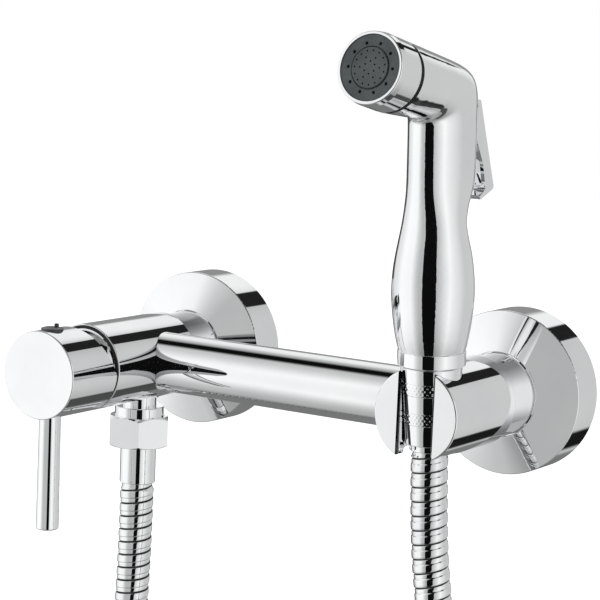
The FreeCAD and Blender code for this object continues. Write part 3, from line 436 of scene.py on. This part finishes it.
def new_material(name):
    """Empty node material with a Principled shader wired to the output."""
    material = bpy.data.materials.new(name)
    material.use_nodes = True
    tree = material.node_tree
    tree.nodes.clear()
    output = tree.nodes.new("ShaderNodeOutputMaterial")
    shader = tree.nodes.new("ShaderNodeBsdfPrincipled")
    tree.links.new(shader.outputs["BSDF"], output.inputs["Surface"])
    place = tree.nodes.new("ShaderNodeTexCoord")
    return material, tree, shader, place.outputs["Object"]


def noise(tree, place, scale, detail=3.0, rough=0.5, stretch=None):
    """Noise value; stretch multiplies the three axes before it."""
    if stretch:
        mapping = tree.nodes.new("ShaderNodeMapping")
        mapping.inputs["Scale"].default_value = stretch
        tree.links.new(place, mapping.inputs["Vector"])
        place = mapping.outputs["Vector"]
    texture = tree.nodes.new("ShaderNodeTexNoise")
    texture.inputs["Scale"].default_value = scale
    texture.inputs["Detail"].default_value = detail
    texture.inputs["Roughness"].default_value = rough
    tree.links.new(place, texture.inputs["Vector"])
    return texture.outputs["Fac"]


def ramp(tree, value, low, high, start=0.3, end=0.7):
    """Colour or grey ramp between two stops."""
    node = tree.nodes.new("ShaderNodeValToRGB")
    stops = node.color_ramp.elements
    stops[0].position = start
    stops[1].position = end
    stops[0].color = (*low, 1) if isinstance(low, tuple) else (low, low, low, 1)
    stops[1].color = (*high, 1) if isinstance(high, tuple) else (high, high, high, 1)
    tree.links.new(value, node.inputs["Fac"])
    return node.outputs["Color"]


def spots(tree, place, scale, size):
    """Small round marks: 1 at a mark's centre and 0 away from it."""
    texture = tree.nodes.new("ShaderNodeTexVoronoi")
    texture.inputs["Scale"].default_value = scale
    tree.links.new(place, texture.inputs["Vector"])
    return ramp(tree, texture.outputs["Distance"], 1.0, 0.0, size * 0.6, size)


class Sums:
    """Arithmetic on a node tree's sockets; plain numbers work too."""

    def __init__(self, tree):
        self.tree = tree

    def do(self, operation, a, b=0.0):
        """One Math node."""
        node = self.tree.nodes.new("ShaderNodeMath")
        node.operation = operation
        for socket, value in zip(node.inputs, (a, b)):
            if isinstance(value, (int, float)):
                socket.default_value = value
            else:
                self.tree.links.new(value, socket)
        return node.outputs["Value"]

    def step(self, value, low, high):
        """0 before low and 1 past high, smooth between."""
        node = self.tree.nodes.new("ShaderNodeMapRange")
        node.interpolation_type = "SMOOTHSTEP"
        self.tree.links.new(value, node.inputs["Value"])
        node.inputs["From Min"].default_value = low
        node.inputs["From Max"].default_value = high
        return node.outputs["Result"]

    def scaled(self, value, gain, offset=0.0):
        """Value times gain, plus offset."""
        return self.do("ADD", self.do("MULTIPLY", value, gain), offset)

    def less(self, value):
        """1 minus the value."""
        return self.scaled(value, -1.0, 1.0)

    def product(self, *values):
        """All the values multiplied."""
        total = values[0]
        for value in values[1:]:
            total = self.do("MULTIPLY", total, value)
        return total

    def over(self, base, card, share):
        """Card's brightness laid over the base by a share."""
        change = self.do("MULTIPLY", self.do("SUBTRACT", card, base), share)
        return self.do("ADD", base, change)


def mixed(tree, share, a, b):
    """Mix of two colour sockets by a share."""
    node = tree.nodes.new("ShaderNodeMix")
    node.data_type = "RGBA"
    colours = [s for s in node.inputs if s.type == "RGBA"]
    tree.links.new(share, node.inputs[0])
    tree.links.new(a, colours[0])
    tree.links.new(b, colours[1])
    return [s for s in node.outputs if s.type == "RGBA"][0]


def bump(tree, shader, height, distance, strength):
    """Bump from a height socket."""
    node = tree.nodes.new("ShaderNodeBump")
    node.inputs["Distance"].default_value = distance
    node.inputs["Strength"].default_value = strength
    tree.links.new(height, node.inputs["Height"])
    tree.links.new(node.outputs["Normal"], shader.inputs["Normal"])


def painted_slot_shade(tree, place):
    """Mask of painted shade: 1 on the front of the holder's slot walls, 0 deeper in and on all the rest.
    """
    sums = Sums(tree)
    parts = tree.nodes.new("ShaderNodeSeparateXYZ")
    tree.links.new(place, parts.inputs["Vector"])
    beside = sums.do("ABSOLUTE", sums.scaled(parts.outputs[0], 1.0, -seat_x))
    outside = sums.step(beside, slot_half + slot_skin[0], slot_half + slot_skin[1])
    behind = sums.step(parts.outputs[1], *slot_fade)
    return sums.product(sums.less(outside), sums.less(behind))


def chrome(name, low, high, rough_low, rough_high, wave=0.00004, painted_shade_where=None):
    """Polished chrome with faint water marks, haze and a barely uneven surface.

    The last argument, if given, makes a mask of the places where the chrome is painted all but black, as
    shade.
    """
    material, tree, shader, place = new_material(name)
    shader.inputs["Metallic"].default_value = 1.0
    colour = ramp(tree, noise(tree, place, 38.0, 4.0, 0.55), low, high)
    if painted_shade_where:
        # Painted shade: near-black colour laid over the chrome where the mask is 1.
        slot_shade_colour = ramp(tree, noise(tree, place, 200.0), 0.03, 0.06)
        colour = mixed(tree, painted_shade_where(tree, place), colour, slot_shade_colour)
    tree.links.new(colour, shader.inputs["Base Color"])
    haze = ramp(tree, noise(tree, place, 140.0, 5.0, 0.6), rough_low, rough_high, 0.42, 0.78)
    marks = spots(tree, place, 260.0, 0.16)
    spotted = ramp(tree, marks, rough_low, rough_high * 1.2, 0.0, 1.0)
    tree.links.new(mixed(tree, marks, haze, spotted), shader.inputs["Roughness"])
    bump(tree, shader, noise(tree, place, 55.0, 2.0, 0.4), wave, 0.35)
    return material


def machined(name, low, high, rough_low, rough_high):
    """Turned metal with fine lines and stains."""
    material, tree, shader, place = new_material(name)
    shader.inputs["Metallic"].default_value = 1.0
    stains = noise(tree, place, 90.0, 5.0, 0.6)
    tree.links.new(ramp(tree, stains, low, high), shader.inputs["Base Color"])
    lines = noise(tree, place, 60.0, 3.0, 0.6, (1.0, 26.0, 1.0))
    tree.links.new(ramp(tree, lines, rough_low, rough_high), shader.inputs["Roughness"])
    bump(tree, shader, lines, 0.00012, 0.4)
    return material


def moulded(name, low, high, rough_low, rough_high, grain, depth, spec=0.5):
    """Moulded plastic, rubber or ceramic with a fine grain and slight mottling."""
    material, tree, shader, place = new_material(name)
    shader.inputs["Specular IOR Level"].default_value = spec
    mottle = noise(tree, place, 120.0, 4.0, 0.55)
    tree.links.new(ramp(tree, mottle, low, high), shader.inputs["Base Color"])
    fine = noise(tree, place, grain, 3.0, 0.6)
    tree.links.new(ramp(tree, fine, rough_low, rough_high), shader.inputs["Roughness"])
    bump(tree, shader, fine, depth, 0.5)
    return material


chrome_tints = ((0.90, 0.91, 0.92), (0.96, 0.965, 0.97))
chrome_gloss = (0.02, 0.06)
finishes = {
    "chrome": chrome("polished_chrome", *chrome_tints, *chrome_gloss),
    "hose_metal": chrome("hose_band", (0.84, 0.85, 0.86), (0.94, 0.945, 0.95), 0.05, 0.16, 0.00008),
    "bare_brass": machined("turned_brass", (0.62, 0.44, 0.17), (0.80, 0.62, 0.30), 0.22, 0.42),
    "steel": machined("bright_steel", (0.55, 0.56, 0.57), (0.72, 0.73, 0.74), 0.18, 0.36),
    "black_rubber": moulded("black_rubber", (0.010, 0.010, 0.011), (0.024, 0.024, 0.026),
                            0.5, 0.72, 900.0, 0.00006, 0.35),
    "ceramic": moulded("ground_ceramic", (0.80, 0.79, 0.76), (0.90, 0.89, 0.86),
                       0.12, 0.25, 700.0, 0.00002, 0.6),
    "white_plastic": moulded("white_plastic", (0.66, 0.66, 0.63), (0.78, 0.78, 0.75),
                             0.32, 0.48, 600.0, 0.00004, 0.45),
    "grey_rubber": moulded("grey_rubber", (0.040, 0.046, 0.048), (0.064, 0.071, 0.074),
                           0.42, 0.6, 1100.0, 0.00005, 0.4),
    "dark_plastic": moulded("dark_plastic", (0.030, 0.030, 0.033), (0.055, 0.055, 0.060),
                            0.16, 0.3, 500.0, 0.00003),
}
# Chrome for the holder leg, with painted shade on the front of its slot walls.
slot_shaded_chrome = chrome("chrome_with_painted_slot_shade", *chrome_tints, *chrome_gloss, painted_shade_where=painted_slot_shade)
# Near-black material for the hose's joint faces: painted shade in the grooves between the turns.
hose_groove_shade = moulded("hose_groove_shade", (0.010, 0.010, 0.011), (0.030, 0.030, 0.032), 0.4, 0.7, 900.0, 0.00004)


def dress():
    """Give every CAD node the finish of its material slot; the holder's leg gets chrome with painted shade
    on the front of its slot walls.
    """
    for part in frame["record"]["subparts"]:
        thing = frame["nodes"][part["node"]]
        thing.data.materials.clear()
        with_slot_shade = part["node"] == "holder_leg"
        thing.data.materials.append(slot_shaded_chrome if with_slot_shade else finishes[part["material_slot"]])


dress()
for band in knurls:
    band.data.materials.append(finishes["chrome"])
spring.data.materials.append(finishes["steel"])
hose.data.materials.append(finishes["hose_metal"])
hose.data.materials.append(hose_groove_shade)
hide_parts("shower_hose")
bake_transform(hose)


# Floor, world and lamps

def output_of(tree):
    """The output node of a material's tree."""
    return next(node for node in tree.nodes if node.type == "OUTPUT_MATERIAL")


def make_floor():
    """Plain white floor under the hose, which shines don't mirror."""
    size = floor_half
    z = cad_box[0].z - floor_drop
    corners = [(-size, -size, z), (size, -size, z), (size, size, z), (-size, size, z)]
    floor = add_mesh("floor", corners, [(0, 1, 2, 3)])
    material, tree, shader, place = new_material("floor_white")
    tree.links.new(ramp(tree, noise(tree, place, 2.0), 0.93, 0.95), shader.inputs["Base Color"])
    shader.inputs["Roughness"].default_value = 0.9
    shader.inputs["Specular IOR Level"].default_value = 0.1
    ray = tree.nodes.new("ShaderNodeLightPath")
    glow = tree.nodes.new("ShaderNodeEmission")
    add = tree.nodes.new("ShaderNodeAddShader")
    strength = Sums(tree).do("MULTIPLY", ray.outputs["Is Camera Ray"], floor_glow)
    tree.links.new(strength, glow.inputs["Strength"])
    tree.links.new(shader.outputs["BSDF"], add.inputs[0])
    tree.links.new(glow.outputs["Emission"], add.inputs[1])
    tree.links.new(add.outputs["Shader"], output_of(tree).inputs["Surface"])
    floor.data.materials.append(material)
    floor.visible_glossy = False


def studio_round(sums, x, y):
    """Brightness round the horizon, by the angle from the front."""
    angle = sums.do("ARCTAN2", x, sums.scaled(y, -1.0))
    share = sums.scaled(angle, 0.5 / math.pi, 0.5)
    node = sums.tree.nodes.new("ShaderNodeValToRGB")
    sums.tree.links.new(share, node.inputs["Fac"])
    stops = node.color_ramp.elements
    while len(stops) > 1:
        stops.remove(stops[-1])
    for k, (degrees, value) in enumerate(studio_levels):
        stop = stops[0] if k == 0 else stops.new(degrees / 360 + 0.5)
        stop.position = degrees / 360 + 0.5
        stop.color = (value, value, value, 1)
    return node.outputs["Color"]


def studio_height(sums, z):
    """Fall of the brightness towards the ceiling and the floor."""
    up = sums.scaled(sums.step(z, 0.34, 0.95), -0.55, 1.0)
    down = sums.scaled(sums.step(sums.scaled(z, -1.0), 0.30, 0.95), -0.62, 1.0)
    return sums.do("MULTIPLY", up, down)


def round_field(sums, light, sight, field):
    """A round field of the studio laid over the light."""
    toward, edge, level = field
    x, y, z = (sums.scaled(part, gain) for part, gain in zip(sight, toward))
    return sums.over(light, level, sums.step(sums.do("ADD", sums.do("ADD", x, y), z), *edge))


def dim_wall(sums, light, sight):
    """Dim wall low behind on the left, darker towards the floor's edge."""
    x, y, z = sight
    minus_x = sums.scaled(x, -1.0)
    minus_z = sums.scaled(z, -1.0)
    low = sums.step(sums.do("SUBTRACT", sums.scaled(y, -0.17, 0.128), z), -0.02, 0.04)
    left = sums.step(sums.do("ADD", minus_x, sums.scaled(minus_z, 0.6)), 0.38, 0.46)
    back = sums.step(sums.do("ADD", y, sums.scaled(minus_z, 0.5)), 0.32, 0.54)
    level = sums.scaled(sums.step(minus_z, 0.12, 0.40), 0.13, 0.06)
    return sums.over(light, level, sums.product(low, left, back))


def run_of(sums, rise, edge):
    """Sideways place of a beam's edge at a rise: the lesser of its two straight runs."""
    return sums.do("MINIMUM", *(sums.scaled(rise, slope, start) for slope, start in edge))


def dark_beam(sums, light, over, rise, facing_back):
    """Dark slanting beam high behind."""
    left = sums.do("SUBTRACT", over, run_of(sums, rise, beam_left))
    right = sums.do("SUBTRACT", run_of(sums, rise, beam_right), over)
    beam = sums.product(sums.step(left, *beam_edge), sums.step(right, *beam_edge),
                        facing_back, sums.step(rise, 0.24, 0.34))
    return sums.over(light, beam_level, beam)


def dark_stand(sums, light, over, rise, facing_back):
    """Dark stand low behind, wider towards the floor."""
    right = sums.do("SUBTRACT", sums.scaled(rise, -0.45), over)
    stand = sums.product(sums.step(over, -0.12, -0.03), sums.step(right, -0.03, 0.04),
                         sums.less(sums.step(rise, -0.46, -0.40)), facing_back)
    return sums.over(light, sums.scaled(sums.step(rise, -0.80, -0.55), -0.06, 0.07), stand)


def dark_gap(sums, light, sight):
    """Dark gap between the softboxes overhead."""
    y, z = sight[1:]
    slope = sums.do("DIVIDE", y, sums.do("MAXIMUM", z, 0.05))
    gap = sums.product(sums.step(slope, -0.34, -0.10), sums.less(sums.step(slope, 0.14, 0.36)),
                       sums.step(z, 0.4, 0.5))
    return sums.over(light, gap_level, gap)


def make_world():
    """White studio; what shines sees softboxes, dark fields and dimmer walls in it."""
    world = bpy.data.worlds.new("studio")
    bpy.context.scene.world = world
    world.use_nodes = True
    tree = world.node_tree
    tree.nodes.clear()
    output = tree.nodes.new("ShaderNodeOutputWorld")
    plain = tree.nodes.new("ShaderNodeBackground")
    seen = tree.nodes.new("ShaderNodeBackground")
    which = tree.nodes.new("ShaderNodeMixShader")
    ray = tree.nodes.new("ShaderNodeLightPath")
    place = tree.nodes.new("ShaderNodeTexCoord")
    parts = tree.nodes.new("ShaderNodeSeparateXYZ")
    tree.links.new(place.outputs["Generated"], parts.inputs["Vector"])
    sight = x, y, z = [parts.outputs[k] for k in range(3)]
    sums = Sums(tree)
    behind = sums.do("MAXIMUM", y, 0.05)
    over = sums.do("DIVIDE", x, behind)
    rise = sums.do("DIVIDE", z, behind)
    facing_back = sums.step(y, 0.25, 0.35)
    light = sums.do("MULTIPLY", studio_round(sums, x, y), studio_height(sums, z))
    light = round_field(sums, light, sight, bright_wall)
    light = round_field(sums, light, sight, backdrop)
    light = dim_wall(sums, light, sight)
    light = dark_beam(sums, light, over, rise, facing_back)
    light = dark_stand(sums, light, over, rise, facing_back)
    light = dark_gap(sums, light, sight)
    tree.links.new(light, seen.inputs["Strength"])
    plain.inputs["Strength"].default_value = 1.0
    for background in (plain, seen):
        background.inputs["Color"].default_value = (1, 1, 1, 1)
    shiny = sums.do("MAXIMUM", ray.outputs["Is Glossy Ray"], ray.outputs["Is Transmission Ray"])
    tree.links.new(shiny, which.inputs["Fac"])
    tree.links.new(plain.outputs["Background"], which.inputs[1])
    tree.links.new(seen.outputs["Background"], which.inputs[2])
    tree.links.new(which.outputs["Shader"], output.inputs["Surface"])


def make_card(name, card_facts):
    """Upright card facing the wall, seen in the chrome alone and from behind not at all."""
    y, level, fields = card_facts
    corners = []
    for x0, x1, z0, z1 in fields:
        corners += [(x0, y, z0), (x1, y, z0), (x1, y, z1), (x0, y, z1)]
    faces = [(k + 3, k + 2, k + 1, k) for k in range(0, len(corners), 4)]
    card = add_mesh(name, corners, faces)
    material, tree, shader, place = new_material(name)
    glow = tree.nodes.new("ShaderNodeEmission")
    clear = tree.nodes.new("ShaderNodeBsdfTransparent")
    side = tree.nodes.new("ShaderNodeNewGeometry")
    which = tree.nodes.new("ShaderNodeMixShader")
    mottle = ramp(tree, noise(tree, place, 3.0), level * 0.95, level * 1.05)
    tree.links.new(mottle, glow.inputs["Color"])
    tree.links.new(side.outputs["Backfacing"], which.inputs["Fac"])
    tree.links.new(glow.outputs["Emission"], which.inputs[1])
    tree.links.new(clear.outputs["BSDF"], which.inputs[2])
    tree.links.new(which.outputs["Shader"], output_of(tree).inputs["Surface"])
    tree.nodes.remove(shader)
    card.data.materials.append(material)
    card.visible_camera = False
    card.visible_diffuse = False
    card.visible_shadow = False
    card.visible_transmission = False


def make_lamp(name, place, aim, size, power):
    """Soft square lamp that shiny surfaces don't mirror."""
    data = bpy.data.lights.new(name, "AREA")
    data.shape = "SQUARE"
    data.size = size
    data.energy = power
    lamp = bpy.data.objects.new(name, data)
    lamp.location = place
    lamp.rotation_euler = (Vector(aim) - Vector(place)).to_track_quat("-Z", "Y").to_euler()
    lamp.visible_glossy = False
    lamp.visible_camera = False
    bpy.context.collection.objects.link(lamp)


make_floor()
make_world()
make_card("black_card", black_card)
make_card("grey_card", grey_card)
make_lamp("key_lamp", lamp_place, lamp_aim, lamp_size, lamp_power)
